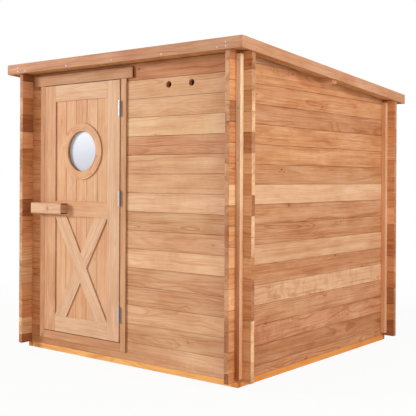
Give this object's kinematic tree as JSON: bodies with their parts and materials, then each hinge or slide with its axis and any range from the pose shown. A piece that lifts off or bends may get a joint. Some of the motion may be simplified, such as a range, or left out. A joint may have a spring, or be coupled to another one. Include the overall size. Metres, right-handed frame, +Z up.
{
  "type": "outdoor sauna cabin",
  "caption": "Square timber sauna cabin of stacked cross-lapped boards with a single-pitch roof and a hinged framed door with a cross brace, a round window and a block pull.",
  "frame": {"origin": "on the ground, under the middle of the roof's plan", "axes": "+Z up; the front wall with the door faces -Y; +X is to the right seen from the front"},
  "size_m": [2.21, 2.222, 2.1318],
  "materials": {
    "wall_timber": "planed, oiled softwood, varied board by board",
    "base_timber": "orange treated pine",
    "floor_timber": "planed softwood",
    "batten_timber": "planed pale softwood",
    "roof_timber": "planed softwood",
    "fascia_timber": "planed pinkish softwood",
    "door_timber": "planed pale softwood",
    "insulation": "rigid foam board",
    "felt": "mineral roofing felt",
    "hinge_steel": "zinc-plated steel",
    "porthole_glass": "clear glass"
  },
  "bodies": {
    "cabin": {"base_side_beams": "base_timber", "base_cross_beams": "base_timber", "floor_joists": "base_timber", "floor_boards": "floor_timber", "left_wall_even_logs": "wall_timber", "left_wall_odd_logs": "wall_timber", "right_wall_even_logs": "wall_timber", "right_wall_odd_logs": "wall_timber", "front_wall_bottom_log": "wall_timber", "front_wall_top_log": "wall_timber", "front_wall_vent_log": "wall_timber", "front_wall_left_even_logs": "wall_timber", "front_wall_left_odd_logs": "wall_timber", "front_wall_right_even_logs": "wall_timber", "front_wall_right_odd_logs": "wall_timber", "back_wall_even_logs": "wall_timber", "back_wall_odd_logs": "wall_timber", "corner_battens": "batten_timber", "roof_purlin": "roof_timber", "roof_boards": "roof_timber", "roof_core": "insulation", "roof_felt": "felt", "front_fascia": "fascia_timber", "back_fascia": "fascia_timber", "side_fascias": "fascia_timber", "door_jambs": "door_timber", "door_head": "door_timber", "door_threshold": "door_timber", "hinge_frame_halves": "hinge_steel"},
    "door": {"door_stiles": "door_timber", "door_rails": "door_timber", "door_panels": "door_timber", "door_long_brace": "door_timber", "door_short_braces": "door_timber", "porthole_outer_ring": "door_timber", "porthole_glass": "porthole_glass", "porthole_inner_ring": "door_timber", "door_pull": "door_timber", "hinge_leaf_halves": "hinge_steel"}
  },
  "joints": [
    {"name": "door_hinge", "type": "hinge", "parent": "cabin", "child": "door", "pos_m": [-0.012, -1.0075, 1.056], "axis": [0, 0, 1], "range_deg": [0, 110]}
  ]
}
